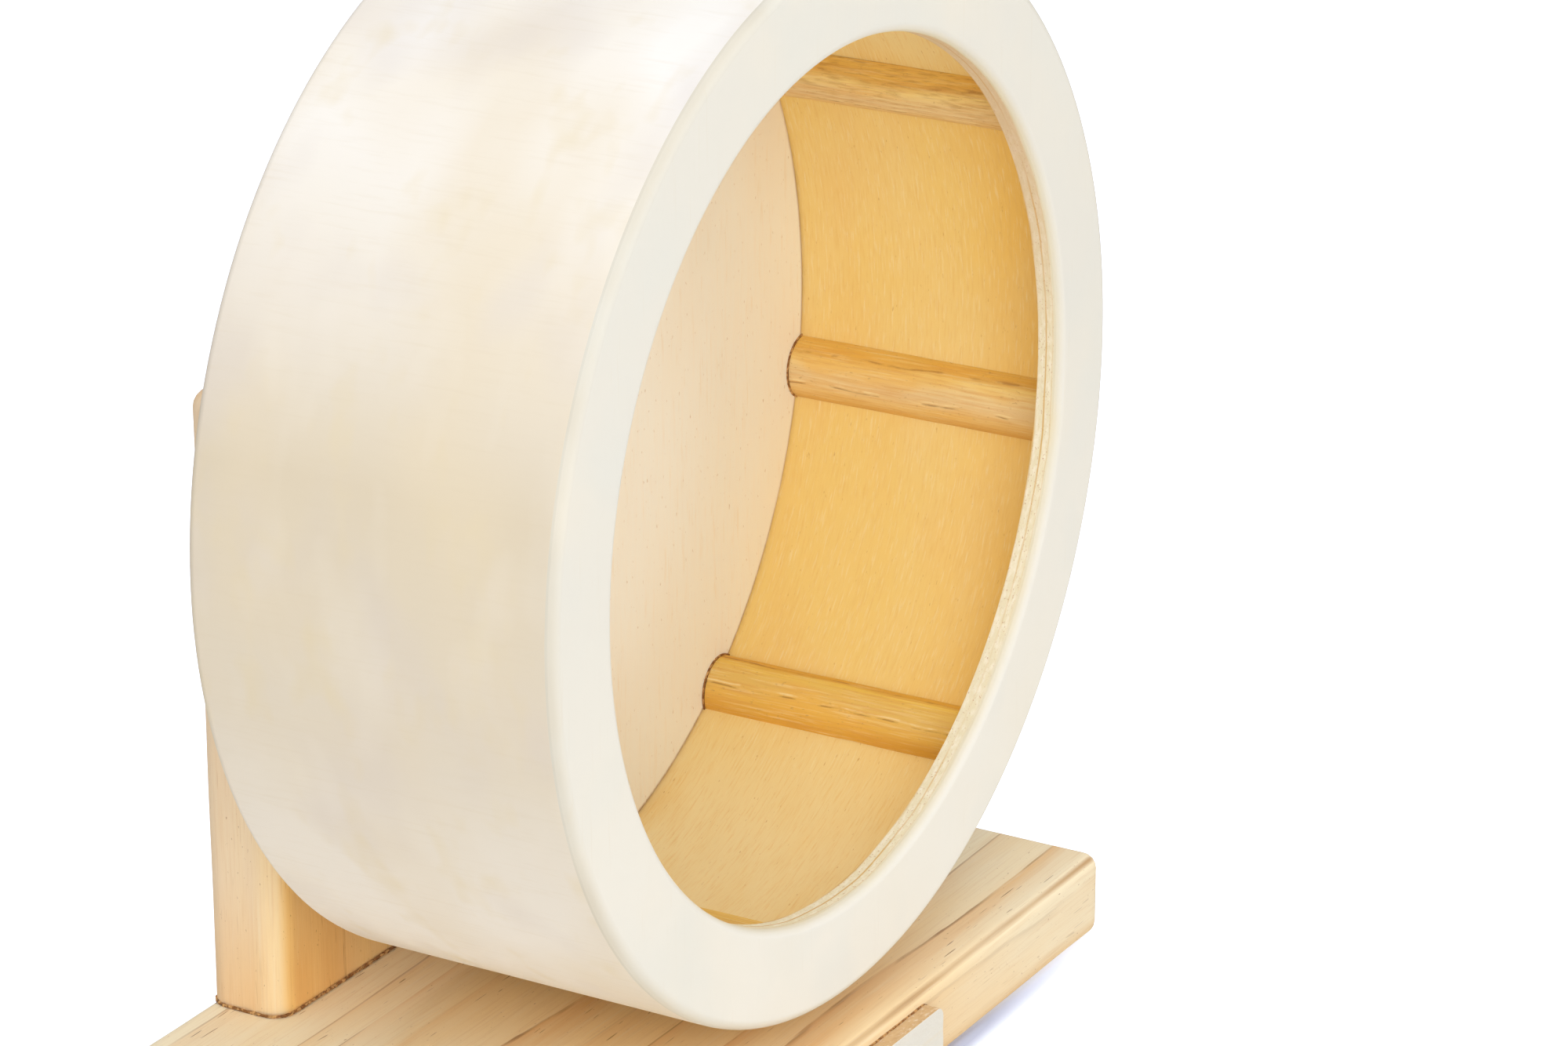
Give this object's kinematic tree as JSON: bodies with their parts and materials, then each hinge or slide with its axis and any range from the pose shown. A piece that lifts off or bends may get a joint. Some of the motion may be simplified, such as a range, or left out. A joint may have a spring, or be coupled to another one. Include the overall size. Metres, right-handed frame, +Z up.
{
  "type": "rodent exercise wheel",
  "caption": "Wooden exercise wheel for small rodents: an open-fronted plywood drum with inner rungs turns on a ball-bearing axle in front of a pine stand.",
  "frame": {"origin": "centre of the base board's underside, below the middle of the axle's span", "axes": "+Z up; the axle lies along Y and the drum's open mouth faces -Y; +X is to the right seen from the mouth"},
  "size_m": [0.21, 0.1235, 0.2335],
  "materials": {
    "whitewashed_band": "matt whitewash outside, bare pale veneer inside",
    "whitewashed_ring": "matt whitewash, sanded edges",
    "panel_plywood": "sanded, bare",
    "rung_wood": "bare, half-round moulding",
    "pine": "planed and sanded, bare",
    "label_plywood": "whitewashed face, sawn edges",
    "beech": "turned, bare",
    "zinc_plated_steel": "bright zinc plate",
    "yellow_zinc_steel": "yellow zinc plate",
    "bearing_steel": "ground",
    "cage_steel": "pressed"
  },
  "bodies": {
    "stand": {"base_board": "pine", "back_post": "pine", "label_plate": "label_plywood", "post_dowels": "beech", "post_screws": "yellow_zinc_steel", "axle_bolt": "zinc_plated_steel", "head_washer": "zinc_plated_steel", "bearing_spacer": "zinc_plated_steel", "post_sleeve": "zinc_plated_steel", "front_post_washer": "zinc_plated_steel", "rear_post_washer": "zinc_plated_steel", "axle_nut": "zinc_plated_steel", "front_bearing_inner_ring": "bearing_steel", "rear_bearing_inner_ring": "bearing_steel"},
    "wheel": {"rim_band": "whitewashed_band", "front_ring": "whitewashed_ring", "back_panel": "panel_plywood", "rung_1": "rung_wood", "rung_2": "rung_wood", "rung_3": "rung_wood", "rung_4": "rung_wood", "rung_5": "rung_wood", "rung_6": "rung_wood", "rung_7": "rung_wood", "rung_8": "rung_wood", "rung_9": "rung_wood", "hub_boss": "beech", "hub_screws": "yellow_zinc_steel", "hub_cap": "beech", "front_bearing_outer_ring": "bearing_steel", "front_bearing_front_shield": "bearing_steel", "front_bearing_back_shield": "bearing_steel", "rear_bearing_outer_ring": "bearing_steel", "rear_bearing_front_shield": "bearing_steel", "rear_bearing_back_shield": "bearing_steel"},
    "front_ball_set": {"front_bearing_balls": "bearing_steel", "front_bearing_cage": "cage_steel"},
    "rear_ball_set": {"rear_bearing_balls": "bearing_steel", "rear_bearing_cage": "cage_steel"}
  },
  "joints": [
    {"name": "wheel_spin", "type": "hinge", "parent": "stand", "child": "wheel", "pos_m": [0, 0.0255, 0.1285], "axis": [0, 1, 0], "continuous": true},
    {"name": "front_balls_roll", "type": "hinge", "parent": "stand", "child": "front_ball_set", "pos_m": [0, 0.0195, 0.1285], "axis": [0, 1, 0], "continuous": true},
    {"name": "rear_balls_roll", "type": "hinge", "parent": "stand", "child": "rear_ball_set", "pos_m": [0, 0.0315, 0.1285], "axis": [0, 1, 0], "continuous": true}
  ],
  "couplings": [
    {"joint": "front_balls_roll", "follows": "wheel_spin", "ratio": 0.63},
    {"joint": "rear_balls_roll", "follows": "wheel_spin", "ratio": 0.63}
  ]
}
